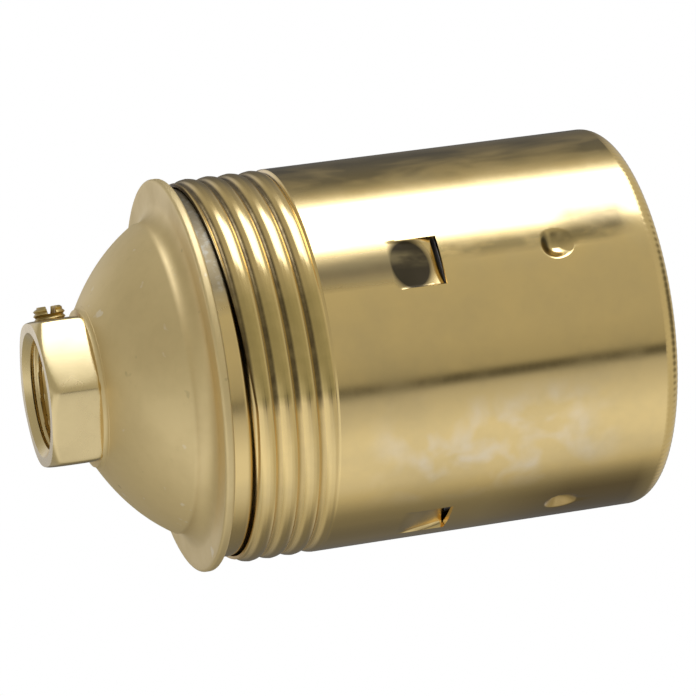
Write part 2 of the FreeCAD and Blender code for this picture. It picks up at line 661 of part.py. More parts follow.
def make_threaded_sleeve():
    """E27 sleeve as the envelope of its rolled thread, with a turned-in floor held by two screws."""
    body = new_body("threaded_sleeve")
    revolved(body, "Sleeve", [
        (sleeve_bore, sleeve_mouth),
        (sleeve_outer, sleeve_mouth),
        (sleeve_outer, sleeve_top),
        (floor_bore, sleeve_top),
        (floor_bore, sleeve_floor),
        (f"({sleeve_outer} - Size.sleeve_sheet)", sleeve_floor),
        (f"({sleeve_outer} - Size.sleeve_sheet)", f"{sleeve_floor} - Size.sleeve_plain"),
        (sleeve_bore, f"{sleeve_floor} - Size.sleeve_plain"),
    ])
    low = f"({sleeve_floor} - 1)"
    high = f"({sleeve_top} + 1)"
    hole = tapped("Size.sleeve_screw_thread")
    cut_hole(body, "NutScrewHole", sleeve_screw_radius, "0", hole, low, high,
             turn="Size.sleeve_screw_turn")
    cut_hole(body, "NeutralScrewHole", f"-{sleeve_screw_radius}", "0", hole, low, high)
    return body


def make_terminal(name, turn, screw_place, screw_thread):
    """Brass pillar: a block with a wire hole from above, a clamping hole from outside, a foot hole."""
    body = new_body(name)
    half = "(Size.terminal_width / 2)"
    frame = new_sketch(body, f"{name}Frame", "XY_Plane", rise=terminal_foot)
    rectangle(frame, terminal_start, terminal_end, f"-{half}", half)
    feature(body, "Pad", f"{name}Pillar", frame, Length="Size.terminal_height")
    top = f"({terminal_foot} + Size.terminal_height + 1)"
    cut_hole(body, f"{name}WireHole", wire_place, "0", "Size.wire_hole / 2",
             f"({terminal_clamp} - Size.wire_hole / 2)", top)
    clamp = circle(new_sketch(body, f"{name}ClampCircle", "YZ_Plane", rise=wire_place),
                   "0", terminal_clamp, tapped("Size.screw_thread"))
    feature(body, "Pocket", f"{name}ClampHole", clamp, Length=f"{terminal_end} - {terminal_start}", Reversed=True)
    cut_hole(body, f"{name}FootHole", screw_place, "0", tapped(screw_thread),
             f"({terminal_foot} - 1)", f"({terminal_foot} + Size.terminal_tap)")
    body.Placement = FreeCAD.Placement(VECTOR(), FreeCAD.Rotation(VECTOR(0, 0, 1), turn))
    return body


def make_sleeve_nut():
    """Square nut on the pocket floor, on the screw at the turned place."""
    body = new_body("sleeve_nut")
    half = "(Size.nut_side / 2)"
    centre = sleeve_screw_radius
    turn = "Size.sleeve_screw_turn"
    frame = new_sketch(body, "NutFrame", "XY_Plane", rise=f"{pocket_foot} + Size.touch_gap", turn=turn)
    rectangle(frame, f"{centre} - {half}", f"{centre} + {half}", f"-{half}", half)
    feature(body, "Pad", "Nut", frame, Length="Size.nut_height")
    cut_hole(body, "NutHole", centre, "0", tapped("Size.sleeve_screw_thread"), f"({pocket_foot} - 1)",
             f"({pocket_foot} + Size.nut_height + 1)", turn=turn)
    return body


def make_centre_contact():
    """Leaf of sprung brass: a root held loosely on its screw, a slope down to the axis, a flat tip."""
    body = new_body("centre_contact")
    knee = f"({contact_screw_radius} - Size.screw_head / 2 - Size.seat_gap)"
    low = f"({leaf_top} - Size.leaf_drop)"
    lean = "(Size.leaf_sheet * 0.3)"
    half_nose = "(Size.leaf_nose / 2)"
    section = new_sketch(body, "LeafSection", "XZ_Plane")
    outline(section, [
        (leaf_heel, leaf_top),
        (knee, leaf_top),
        ("Size.leaf_tip_start", low),
        ("-Size.leaf_tip_end", low),
        (f"-Size.leaf_tip_end - {half_nose}", f"{low} + {half_nose}"),
        (f"-Size.leaf_tip_end - {half_nose} - {lean}", f"{low} + {half_nose} - Size.leaf_sheet"),
        (f"-Size.leaf_tip_end - {lean}", f"{low} - Size.leaf_sheet"),
        (f"Size.leaf_tip_start + {lean}", f"{low} - Size.leaf_sheet"),
        (f"{knee} + {lean}", f"{leaf_top} - Size.leaf_sheet"),
        (leaf_heel, f"{leaf_top} - Size.leaf_sheet"),
    ])
    feature(body, "Pad", "Leaf", section, Length="Size.leaf_width", Midplane=True)
    cut_hole(body, "LeafHole", contact_screw_radius, "0", clear("Size.screw_thread"),
             f"({leaf_top} - 1)", f"({leaf_top} + 1)")
    return body


# ---------------------------------------------------------------- the assembly
under_sleeve = f"({sleeve_floor} - Size.touch_gap)"
under_leaf = f"({leaf_top} - Size.leaf_sheet - Size.thread_gap)"
into_terminal = f"({terminal_foot} + Size.terminal_tap - Size.seat_gap)"
turned_x = f"{sleeve_screw_radius} * cos(Size.sleeve_screw_turn)"
turned_y = f"{sleeve_screw_radius} * sin(Size.sleeve_screw_turn)"
under_washer = f"({earth_boss_foot} - Size.washer_sheet - 2 * Size.touch_gap)"
clamp_reach = f"({terminal_end} - {wire_place})"
clamp_head = f"({terminal_end} + Size.seat_gap)"
outwards = (VECTOR(0, 1, 0), -90)
inwards = (VECTOR(0, 1, 0), 90)

pieces = [
    make_cap(),
    make_locking_screw(),
    make_screw("earth_screw", "Size.earth_thread", "(Size.earth_length + Size.washer_sheet)",
               "Size.earth_head", (f"-{earth_radius}", "0", under_washer)),
    make_earth_washer(),
    make_shell(),
    make_mouth_liner(),
    make_terminal_block(),
    make_threaded_sleeve(),
    make_screw("sleeve_screw_1", "Size.sleeve_screw_thread",
               f"({pocket_foot} + Size.nut_height - {under_sleeve})", "Size.sleeve_screw_head",
               (turned_x, turned_y, under_sleeve)),
    make_sleeve_nut(),
    make_screw("sleeve_screw_2", "Size.sleeve_screw_thread", f"({into_terminal} - {under_sleeve})",
               "Size.sleeve_screw_head", (f"-{sleeve_screw_radius}", "0", under_sleeve)),
    make_centre_contact(),
    make_screw("contact_screw", "Size.screw_thread", f"({into_terminal} - {under_leaf})",
               "Size.screw_head", (contact_screw_radius, "0", under_leaf)),
    make_terminal("live_terminal", 0, contact_screw_radius, "Size.screw_thread"),
    make_screw("live_terminal_screw", "Size.screw_thread", clamp_reach, "Size.screw_head",
               (clamp_head, "0", terminal_clamp), outwards),
    make_terminal("neutral_terminal", 180, sleeve_screw_radius, "Size.sleeve_screw_thread"),
    make_screw("neutral_terminal_screw", "Size.screw_thread", clamp_reach, "Size.screw_head",
               (f"-{clamp_head}", "0", terminal_clamp), inwards),
]
doc.recompute()

for item in doc.Objects:
    if "Invalid" in item.State or "Error" in item.State:
        raise RuntimeError(f"{item.Name} failed: {item.State}")

os.makedirs("parts", exist_ok=True)
for piece in pieces:
    shape = piece.Shape
    if shape.isNull() or not shape.isValid() or not shape.Solids:
        raise RuntimeError(f"{piece.Label} has no valid solid")
    shape.exportStep(f"parts/{piece.Label}.step")
    print(f"{piece.Label}: {len(shape.Solids)} solid, {shape.Volume:.1f} mm3")
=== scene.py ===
"""Looks of the brass E27 lamp holder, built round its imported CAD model. Metres; Z is the holder's axis."""

import json
import math

import bpy
import numpy as np
from mathutils import Matrix, Vector


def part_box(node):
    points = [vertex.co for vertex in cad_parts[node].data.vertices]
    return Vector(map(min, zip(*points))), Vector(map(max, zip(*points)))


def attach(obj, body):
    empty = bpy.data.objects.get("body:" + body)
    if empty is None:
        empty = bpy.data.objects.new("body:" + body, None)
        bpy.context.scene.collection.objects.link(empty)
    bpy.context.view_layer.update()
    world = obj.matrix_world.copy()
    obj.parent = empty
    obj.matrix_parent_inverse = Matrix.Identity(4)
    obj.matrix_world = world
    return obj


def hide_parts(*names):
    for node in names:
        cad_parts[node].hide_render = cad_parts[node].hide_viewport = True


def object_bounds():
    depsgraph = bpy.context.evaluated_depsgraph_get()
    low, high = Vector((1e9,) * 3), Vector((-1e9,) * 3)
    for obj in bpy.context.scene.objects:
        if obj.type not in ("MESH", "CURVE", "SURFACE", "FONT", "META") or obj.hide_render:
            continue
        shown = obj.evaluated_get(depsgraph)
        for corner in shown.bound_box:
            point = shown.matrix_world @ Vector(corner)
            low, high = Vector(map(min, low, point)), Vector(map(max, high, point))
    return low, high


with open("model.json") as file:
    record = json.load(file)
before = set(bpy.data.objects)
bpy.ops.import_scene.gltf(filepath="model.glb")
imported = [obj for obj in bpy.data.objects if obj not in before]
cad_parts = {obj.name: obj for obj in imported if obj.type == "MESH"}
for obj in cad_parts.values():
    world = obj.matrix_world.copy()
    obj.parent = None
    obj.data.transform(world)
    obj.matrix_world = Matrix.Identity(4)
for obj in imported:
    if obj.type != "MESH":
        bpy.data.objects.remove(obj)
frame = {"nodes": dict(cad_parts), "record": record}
cad_low, cad_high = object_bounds()

MM = 0.001
TAU = 2 * math.pi


# ---------------------------------------------------------------- places taken from the frame
def node_radius(node):
    """Largest radius of a node that is round about the Z axis."""
    return max(math.hypot(v.co.x, v.co.y) for v in frame["nodes"][node].data.vertices)


def node_heights(node):
    low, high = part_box(node)
    return low.z, high.z


shell_foot = node_heights("shell")[0]
cap_foot, cap_top = node_heights("cap")
sleeve_foot, sleeve_top = node_heights("threaded_sleeve")

SHEET = 0.5 * MM
shell_radius = node_radius("shell")
shell_bore = shell_radius - SHEET
lip_radius = 17.4 * MM
LIP_BEND = 1.7 * MM

THREAD_START = 36.3 * MM
THREAD_PITCH = 2.25 * MM
THREAD_DEPTH = 0.32 * MM
VALLEY_AT_X = 36.56 * MM

EDGE_LOW = 44.7 * MM
EDGE_TILT = 1.35 * MM
EDGE_TOP = -15.0

TAB_ANGLE = 23.5
TAB_COUNT = 4
WINDOW_LOW = 23.5 * MM
WINDOW_HIGH = 28.9 * MM
WINDOW_HALF = 2.7 * MM
TAB_GAP = 0.3 * MM
TAB_PUSH = 1.05 * MM
TAB_ASKEW = 0.22 * MM

DIMPLE_HEIGHT = 11.4 * MM
DIMPLE_RADIUS = 1.65 * MM
DIMPLE_DEPTH = 0.85 * MM

FLANGE_FOOT = 47.3 * MM
FLANGE_TOP = 48.3 * MM
FLANGE_RADIUS = 20.4 * MM
NECK_FOOT = 57.2 * MM
NECK_HALF = 7.55 * MM
SPIGOT_RADIUS = 19.15 * MM
SPIGOT_BORE = 17.45 * MM
ENTRY_RADIUS = 5.73 * MM
ENTRY_MOUTH = 6.45 * MM

DOME_FOOT_HEIGHT = 50.2 * MM
DOME_BORE = 14.7 * MM
CEILING_RADIUS = 8.0 * MM
CEILING_HEIGHT = 55.8 * MM
SHARP_ANGLE = 32


# ---------------------------------------------------------------- mesh aids
def mesh_object(name, points, faces, body, material, replaced=()):
    """A piece from vertices and faces, riding on a body, with its material."""
    mesh = bpy.data.meshes.new(name)
    mesh.from_pydata([tuple(p) for p in points], [], faces)
    mesh.update()
    mesh.polygons.foreach_set("use_smooth", [True] * len(mesh.polygons))
    mesh.set_sharp_from_angle(angle=math.radians(SHARP_ANGLE))
    piece = bpy.data.objects.new(name, mesh)
    bpy.context.scene.collection.objects.link(piece)
    mesh.materials.append(material)
    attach(piece, body)
    if replaced:
        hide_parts(*replaced)
    return piece


def ring_faces(rows, columns, first=0, skip=None):
    """Quads between rows of a grid of points, closed round its columns, without those in skip."""
    faces = []
    for row in range(rows - 1):
        for column in range(columns):
            if skip is not None and skip[row, column]:
                continue
            after = (column + 1) % columns
            low = first + row * columns
            high = low + columns
            faces.append((low + column, low + after, high + after, high + column))
    return faces


def lathe_points(angles, radius, height):
    """Points from angles (columns) and arrays of radius and height (rows by columns)."""
    x = radius * np.cos(angles)[None, :]
    y = radius * np.sin(angles)[None, :]
    return np.stack([x, y, np.broadcast_to(height, x.shape)], -1).reshape(-1, 3)


def smooth_step(low, high, value):
    part = np.clip((value - low) / (high - low), 0, 1)
    return part * part * (3 - 2 * part)


def full_turn(count):
    return np.arange(count) * TAU / count


def wrapped(angle):
    """The angle brought to the half turn either side of zero."""
    return (angle + math.pi) % TAU - math.pi


def arc(centre, radius, first, last, steps):
    """(radius, height) points along an arc of a section; angles in degrees."""
    turn = np.radians(np.linspace(first, last, steps + 1))
    return np.stack([centre[0] + radius * np.cos(turn), centre[1] + radius * np.sin(turn)], -1)


def run(start, finish, steps):
    """(radius, height) points along a straight stretch of a section, its end left out."""
    share = np.linspace(0, 1, steps + 1)[:-1, None]
    return (1 - share) * np.array(start) + share * np.array(finish)


# ---------------------------------------------------------------- materials
def new_material(name):
    material = bpy.data.materials.new(name)
    material.use_nodes = True
    tree = material.node_tree
    tree.nodes.clear()
    output = tree.nodes.new("ShaderNodeOutputMaterial")
    shader = tree.nodes.new("ShaderNodeBsdfPrincipled")
    tree.links.new(shader.outputs["BSDF"], output.inputs["Surface"])
    return material, tree, shader


def add(tree, kind, inputs=None, **settings):
    """A node with its settings and inputs; an input that is a socket is linked."""
    node = tree.nodes.new(kind)
    for key, value in settings.items():
        setattr(node, key, value)
    for key, value in (inputs or {}).items():
        if isinstance(value, bpy.types.NodeSocket):
            tree.links.new(value, node.inputs[key])
        else:
            node.inputs[key].default_value = value
    return node


def ramp(tree, factor, stops):
    """A colour ramp; stops are (place, colour or grey)."""
    node = add(tree, "ShaderNodeValToRGB", {"Fac": factor})
    marks = node.color_ramp.elements
    while len(marks) > 1:
        marks.remove(marks[-1])
    for index, (place, colour) in enumerate(stops):
        mark = marks[0] if index == 0 else marks.new(place)
        mark.position = place
        if not isinstance(colour, tuple):
            colour = (colour, colour, colour)
        mark.color = (*colour, 1)
    return node.outputs["Color"]


def noise(tree, place, scale, detail=2.0, roughness=0.5, distortion=0.0):
    node = add(tree, "ShaderNodeTexNoise",
               {"Vector": place, "Scale": scale, "Detail": detail, "Roughness": roughness,
                "Distortion": distortion})
    return node.outputs["Fac"]


def maths(tree, operation, first, second=0.0):
    node = add(tree, "ShaderNodeMath", {0: first, 1: second}, operation=operation)
    return node.outputs[0]


def mix_colour(tree, factor, first, second):
    node = add(tree, "ShaderNodeMix", data_type="RGBA")
    for key, value in ((0, factor), (6, first), (7, second)):
        if isinstance(value, bpy.types.NodeSocket):
            tree.links.new(value, node.inputs[key])
        else:
            node.inputs[key].default_value = value
    return node.outputs[2]


def round_place(tree, stretch_round=1.0, stretch_up=1.0):
    """Object coordinates as (angle times a mean radius, radius, height), scaled for drawn-out grain."""
    coords = add(tree, "ShaderNodeTexCoord").outputs["Object"]
    parts = add(tree, "ShaderNodeSeparateXYZ", {0: coords})
    angle = maths(tree, "ARCTAN2", parts.outputs["Y"], parts.outputs["X"])
    across = maths(tree, "MULTIPLY", angle, 0.02 * stretch_round)
    up = maths(tree, "MULTIPLY", parts.outputs["Z"], stretch_up)
    return add(tree, "ShaderNodeCombineXYZ", {"X": across, "Y": 0.0, "Z": up}).outputs[0]


BRASS = (0.83, 0.605, 0.235)
DULL_BRASS = (0.58, 0.45, 0.21)
PALE_BRASS = (0.86, 0.76, 0.54)
CAST_BRASS = (0.76, 0.59, 0.27)
OLIVE = (0.26, 0.20, 0.085)
# The next colour is painted shade for the band under the flange.
SPIGOT_SHADE = (0.13, 0.105, 0.06)


def polar_place(tree):
    """Radius, height, and angle in degrees from the front (-Y) towards +X, of the shaded point."""
    coords = add(tree, "ShaderNodeTexCoord").outputs["Object"]
    parts = add(tree, "ShaderNodeSeparateXYZ", {0: coords})
    x, y, height = parts.outputs
    square = maths(tree, "ADD", maths(tree, "MULTIPLY", x, x), maths(tree, "MULTIPLY", y, y))
    angle = maths(tree, "ARCTAN2", x, maths(tree, "MULTIPLY", y, -1.0))
    return maths(tree, "SQRT", square), height, maths(tree, "MULTIPLY", angle, 180 / math.pi)


def between(tree, value, low, high):
    """0 at low, 1 at high, straight between; low may be above high."""
    node = add(tree, "ShaderNodeMapRange", {"Value": value, "From Min": low, "From Max": high})
    return node.outputs["Result"]


def hump(tree, value, low, rise, fall, high):
    """1 between rise and fall, falling to 0 at low and high."""
    return maths(tree, "MULTIPLY", between(tree, value, low, rise), between(tree, value, high, fall))


def product(tree, *factors):
    result = factors[0]
    for factor in factors[1:]:
        result = maths(tree, "MULTIPLY", result, factor)
    return result


def tab_place(tree, height, angle):
    """Place in the nearest tab: across is 1 at its sides, along is 0 at its root and 1 at its free end."""
    turn = maths(tree, "DIVIDE", maths(tree, "SUBTRACT", angle, 90 + TAB_ANGLE), 360 / TAB_COUNT)
    turn = maths(tree, "SUBTRACT", turn, maths(tree, "ROUND", turn))
    across = maths(tree, "MULTIPLY", turn, TAU / TAB_COUNT * shell_radius / WINDOW_HALF)
    return across, between(tree, height, WINDOW_HIGH, WINDOW_LOW)


def oval(tree, across, along, middle, half_across, half_along, soft):
    """1 inside an oval, falling to 0 over a soft rim."""
    x = maths(tree, "DIVIDE", maths(tree, "SUBTRACT", across, middle[0]), half_across)
    y = maths(tree, "DIVIDE", maths(tree, "SUBTRACT", along, middle[1]), half_along)
    square = maths(tree, "ADD", maths(tree, "MULTIPLY", x, x), maths(tree, "MULTIPLY", y, y))
    away = maths(tree, "SQRT", square)
    return between(tree, away, 1 + soft, 1 - soft)


def shell_marks(tree, coords, tint, rough):
    """Painted shade in the tabs and dimples, pale blotches, a brown corner of painted shade low in front,
    olive streaks, painted shade narrowing the highlight near the mouth, olive top.
    """
    _, height, angle = polar_place(tree)
    drawn = add(tree, "ShaderNodeMapping", {"Vector": coords, "Scale": (1.0, 1.0, 0.45)}).outputs[0]
    cloud = noise(tree, drawn, 190.0, 3.0, 0.5, 0.3)
    across, along = tab_place(tree, height, angle)
    # Painted shade: front weights the painted shade of tabs and dimples, strongest on the tab that faces the
    # front.
    front = add(tree, "ShaderNodeMath", {0: hump(tree, angle, 5, 10, 38, 44), 1: 0.25}, operation="MAXIMUM")
    within = between(tree, maths(tree, "ABSOLUTE", across), 1.0, 0.97)
    # Painted shade: the pressed-in bowl of each tab is darkened.
    bowl = product(tree, oval(tree, across, along, (0.0, 0.40), 1.12, 0.44, 0.16), within, front.outputs[0])
    tint = mix_colour(tree, maths(tree, "MULTIPLY", bowl, 0.985), tint, (0.048, 0.038, 0.021, 1))
    # Painted shade: a dark crescent on the cap side of each dimple.
    pit = product(tree, oval(tree, across, height, (0.05, DIMPLE_HEIGHT + 0.95 * MM), 0.42, 0.42 * MM, 0.4),
                  front.outputs[0])
    tint = mix_colour(tree, maths(tree, "MULTIPLY", pit, 0.9), tint, (0.05, 0.036, 0.016, 1))
    blotch = product(tree, hump(tree, angle, -56, -44, -26, -15),
                     hump(tree, height, 0.006, 0.013, 0.027, 0.034),
                     ramp(tree, noise(tree, coords, 230.0, 2.5, 0.5, 0.3), [(0.46, 0.0), (0.68, 1.0)]),
                     0.45)
    tint = mix_colour(tree, blotch, tint, (0.93, 0.86, 0.70, 1))
    streak = product(tree, hump(tree, angle, 22.0, 25.0, 26.5, 28.5),
                     hump(tree, height, 0.004, 0.006, 0.033, 0.037),
                     ramp(tree, noise(tree, drawn, 420.0, 3.0, 0.6), [(0.36, 0.0), (0.56, 1.0)]), 0.62)
    tint = mix_colour(tree, streak, tint, (*OLIVE, 1))
    # Painted shade: darkens the highlight band near the mouth, so that it narrows there.
    lip_band_shade = product(tree, hump(tree, angle, 23, 27, 32, 37), hump(tree, height, 0.002, 0.004, 0.009, 0.012),
                    ramp(tree, cloud, [(0.38, 0.5), (0.58, 1.0)]), 0.9)
    tint = mix_colour(tree, lip_band_shade, tint, (0.12, 0.095, 0.05, 1))
    # Painted shade: a brown reflection of shadow, low in front near the mouth.
    corner = product(tree, hump(tree, angle, -110, -96, -60, -47),
                     hump(tree, height, 0.0018, 0.0036, 0.011, 0.020))
    tint = mix_colour(tree, maths(tree, "MULTIPLY", corner, 0.8), tint, (0.32, 0.21, 0.065, 1))
    over = product(tree, hump(tree, angle, 52, 60, 95, 110),
                   ramp(tree, cloud, [(0.42, 0.1), (0.58, 1.0)]), 0.8)
    tint = mix_colour(tree, over, tint, (*OLIVE, 1))
    rough = maths(tree, "ADD", rough, maths(tree, "MULTIPLY", bowl, 0.42))
    return tint, maths(tree, "ADD", rough, maths(tree, "MULTIPLY", blotch, 0.22))


def thread_marks(tree, coords, tint, rough):
    """Grime and painted shade at the bottom of the rolled valley, on the front and +X side, and olive
    tarnish on the crests in front.
    """
    radius, height, angle = polar_place(tree)
    turn = maths(tree, "DIVIDE", maths(tree, "SUBTRACT", height, VALLEY_AT_X), THREAD_PITCH)
    turn = maths(tree, "SUBTRACT", turn, maths(tree, "DIVIDE", maths(tree, "SUBTRACT", angle, 90.0), 360.0))
    place = maths(tree, "SUBTRACT", turn, maths(tree, "ROUND", turn))
    fleck = ramp(tree, noise(tree, coords, 700.0, 3.0, 0.6), [(0.30, 0.8), (0.60, 1.0)])
    bare = maths(tree, "SUBTRACT", 1.0, hump(tree, place, 0.07, 0.13, 0.24, 0.34))
    olive = product(tree, hump(tree, angle, -13.0, -10.0, 17.0, 30.0), bare, fleck, 0.62)
    tint = mix_colour(tree, olive, tint, (0.36, 0.275, 0.075, 1))
    # Grime and painted shade: the valley's bottom is darkened, on the front and +X side only.
    valley_grime_and_shade = between(tree, radius, shell_radius - 0.25 * MM, shell_radius - 0.37 * MM)
    front = ramp(tree, between(tree, angle, -90.0, 90.0), [(0.41, 0.12), (0.44, 0.93)])
    tint = mix_colour(tree, product(tree, valley_grime_and_shade, fleck, front), tint, (0.10, 0.07, 0.03, 1))
    return tint, maths(tree, "ADD", rough, maths(tree, "MULTIPLY", valley_grime_and_shade, 0.2))


def spigot_marks(tree, coords, tint, rough):
    """The band under the flange: dark and speckled above with painted shade, bare brass low in front."""
    _, _, angle = polar_place(tree)
    fleck = ramp(tree, noise(tree, coords, 1500.0, 3.0, 0.6), [(0.52, 0.0), (0.66, 1.0)])
    # Painted shade: the flange's shade on the band, speckled, laid on the side above.
    speckled_shade = mix_colour(tree, fleck, (*SPIGOT_SHADE, 1), (0.19, 0.185, 0.14, 1))
    side = ramp(tree, between(tree, angle, -90.0, 90.0), [(0.585, 0.0), (0.64, 0.9), (0.80, 1.0)])
    tint = mix_colour(tree, maths(tree, "MULTIPLY", side, 0.92), tint, speckled_shade)
    return tint, maths(tree, "ADD", rough, maths(tree, "MULTIPLY", side, 0.25))


def cast_marks(tree, coords, tint, rough):
    """Pits, nicks and short scratches on the stamped and tumbled cap."""
    pits = ramp(tree, noise(tree, coords, 520.0, 2.0, 0.5), [(0.70, 0.0), (0.75, 1.0)])
    tint = mix_colour(tree, maths(tree, "MULTIPLY", pits, 0.55), tint, (*PALE_BRASS, 1))
    nicks = ramp(tree, noise(tree, coords, 760.0, 1.0, 0.4), [(0.76, 0.0), (0.82, 1.0)])
    return mix_colour(tree, maths(tree, "MULTIPLY", nicks, 0.4), tint, (*OLIVE, 1)), rough


def make_brass(name, colour, dull, roughness, grain=0.25, stain=0.35, scratch=0.2, round_grain=True,
               marks=None):
    """Brass with drawn or turned grain, cloudy dull patches, fine scratches, and a piece's own marks."""
    material, tree, shader = new_material(name)
    coords = add(tree, "ShaderNodeTexCoord").outputs["Object"]
    along = round_place(tree, 0.12, 8.0) if round_grain else coords
    cloud = noise(tree, coords, 130.0, 4.0, 0.6)
    cloud_mask = ramp(tree, cloud, [(0.42, 0.0), (0.72, 1.0)])
    fleck = noise(tree, coords, 900.0, 3.0, 0.7)
    fleck_mask = ramp(tree, fleck, [(0.62, 0.0), (0.74, 1.0)])
    lines = noise(tree, along, 900.0, 2.0, 0.6)
    tint = mix_colour(tree, maths(tree, "MULTIPLY", cloud_mask, stain), (*colour, 1), (*dull, 1))
    tint = mix_colour(tree, maths(tree, "MULTIPLY", fleck_mask, stain * 0.35), tint, (*dull, 1))
    rough = maths(tree, "MULTIPLY", cloud_mask, 0.09)
    rough = maths(tree, "ADD", rough, maths(tree, "MULTIPLY", lines, 0.06))
    rough = maths(tree, "ADD", rough, roughness)
    if marks:
        tint, rough = marks(tree, coords, tint, rough)
    tree.links.new(tint, shader.inputs["Base Color"])
    shader.inputs["Metallic"].default_value = 1.0
    tree.links.new(rough, shader.inputs["Roughness"])
    height = maths(tree, "MULTIPLY", lines, grain)
    height = maths(tree, "ADD", height, maths(tree, "MULTIPLY", cloud, scratch))
    bump = add(tree, "ShaderNodeBump", {"Height": height, "Strength": 0.12, "Distance": 0.00004})
    tree.links.new(bump.outputs["Normal"], shader.inputs["Normal"])
    return material


def make_porcelain(name):
    """Glazed white porcelain: clear glaze over a slightly warm body with faint specks."""
    material, tree, shader = new_material(name)
    coords = add(tree, "ShaderNodeTexCoord").outputs["Object"]
    speck = ramp(tree, noise(tree, coords, 1400.0, 3.0, 0.6), [(0.66, 0.0), (0.78, 1.0)])
    cloud = noise(tree, coords, 90.0, 3.0)
    body = mix_colour(tree, cloud, (0.86, 0.84, 0.78, 1), (0.91, 0.90, 0.86, 1))
    body = mix_colour(tree, maths(tree, "MULTIPLY", speck, 0.25), body, (0.55, 0.47, 0.36, 1))
    tree.links.new(body, shader.inputs["Base Color"])
    rough = maths(tree, "ADD", maths(tree, "MULTIPLY", cloud, 0.12), 0.16)
    tree.links.new(rough, shader.inputs["Roughness"])
    shader.inputs["Subsurface Weight"].default_value = 0.12
    shader.inputs["Subsurface Radius"].default_value = (0.001, 0.0008, 0.0006)
    shader.inputs["Coat Weight"].default_value = 0.6
    shader.inputs["Coat Roughness"].default_value = 0.06
    bump = add(tree, "ShaderNodeBump", {"Height": cloud, "Strength": 0.15, "Distance": 0.0001})
    tree.links.new(bump.outputs["Normal"], shader.inputs["Normal"])
    return material


rolled_brass = make_brass("rolled_brass", BRASS, DULL_BRASS, 0.10, marks=shell_marks)
thread_brass = make_brass("thread_brass", BRASS, DULL_BRASS, 0.13, marks=thread_marks)
lip_brass = make_brass("lip_brass", BRASS, DULL_BRASS, 0.14)
cast_brass = make_brass("cast_brass", CAST_BRASS, DULL_BRASS, 0.46, scratch=0.8, round_grain=False,
                        marks=cast_marks)
neck_brass = make_brass("neck_brass", CAST_BRASS, DULL_BRASS, 0.20, scratch=0.5, round_grain=False)
spigot_brass = make_brass("spigot_brass", BRASS, DULL_BRASS, 0.16, marks=spigot_marks)
sleeve_brass = make_brass("sleeve_brass", PALE_BRASS, DULL_BRASS, 0.16)
screw_brass = make_brass("screw_brass", BRASS, DULL_BRASS, 0.22, grain=0.5, round_grain=False)
grub_brass = make_brass("grub_brass", (0.52, 0.38, 0.13), OLIVE, 0.30, stain=0.8, round_grain=False)
spring_brass = make_brass("spring_brass", (0.78, 0.58, 0.30), DULL_BRASS, 0.2, round_grain=False)
porcelain = make_porcelain("porcelain")


# ---------------------------------------------------------------- shell
def thread_dip(angle, height):
    """Depth of the rolled valley at an angle and height: broad round crests, narrow round valleys."""
    turn = (height - VALLEY_AT_X) / THREAD_PITCH - angle / TAU
    offset = (turn - np.round(turn)) * THREAD_PITCH
    crown = 0.09 * MM * (2 * offset / THREAD_PITCH) ** 2
    valley = THREAD_DEPTH * np.exp(-(np.abs(offset) / (0.44 * MM)) ** 2.2)
    return valley + 0.09 * MM - crown


def edge_height(angle):
    """Height of the shell's trimmed edge, level on one side and slanting up on the other."""
    return np.maximum(EDGE_LOW, EDGE_LOW - 0.05 * MM + EDGE_TILT * np.cos(angle - math.radians(EDGE_TOP)))


def tab_across(angle):
    """Place across the nearest tab, 1 at the window's sides."""
    turn = (angle - math.radians(TAB_ANGLE)) / (TAU / TAB_COUNT)
    return (turn - np.round(turn)) * (TAU / TAB_COUNT) * shell_radius / WINDOW_HALF


def tab_dip(angle, height):
    """How far the lanced tabs press the sheet in: bent from the root, deepest at the free end."""
    across = np.abs(tab_across(angle))
    along = np.clip((WINDOW_HIGH - height) / (WINDOW_HIGH - WINDOW_LOW), 0, 1)
    wall = smooth_step(0, 0.07, 1 - across)
    bowl = 1 - 0.38 * np.clip(across, 0, 1) ** 2
    push = TAB_PUSH * wall * bowl * (0.15 * smooth_step(0, 0.5, along) + 0.85 * along ** 1.4)
    return np.where(height < WINDOW_LOW + 0.1 * TAB_GAP, 0, push)


def dimple_dip(angle, height):
    """Shallow bowls, a little longer towards the mouth."""
    up = height - DIMPLE_HEIGHT
    up = np.where(up < 0, 0.8 * up, up)
    away = np.hypot(tab_across(angle) * WINDOW_HALF, up) / DIMPLE_RADIUS
    return DIMPLE_DEPTH * np.clip(1 - away ** 2, 0, 1) ** 1.3


def shell_angles():
    """Columns round the shell: fine over the tabs and dimples, with lines on the windows' sides."""
    half = WINDOW_HALF / shell_radius
    fine = np.linspace(-1.35 * half, 1.35 * half, 55)
    fine = np.unique(np.concatenate([fine, [-half, half]]))
    step = TAU / TAB_COUNT
    coarse = np.linspace(1.35 * half, step - 1.35 * half, 46)[1:-1]
    one = np.concatenate([fine, coarse])
    return np.concatenate([one + math.radians(TAB_ANGLE) + index * step for index in range(TAB_COUNT)])


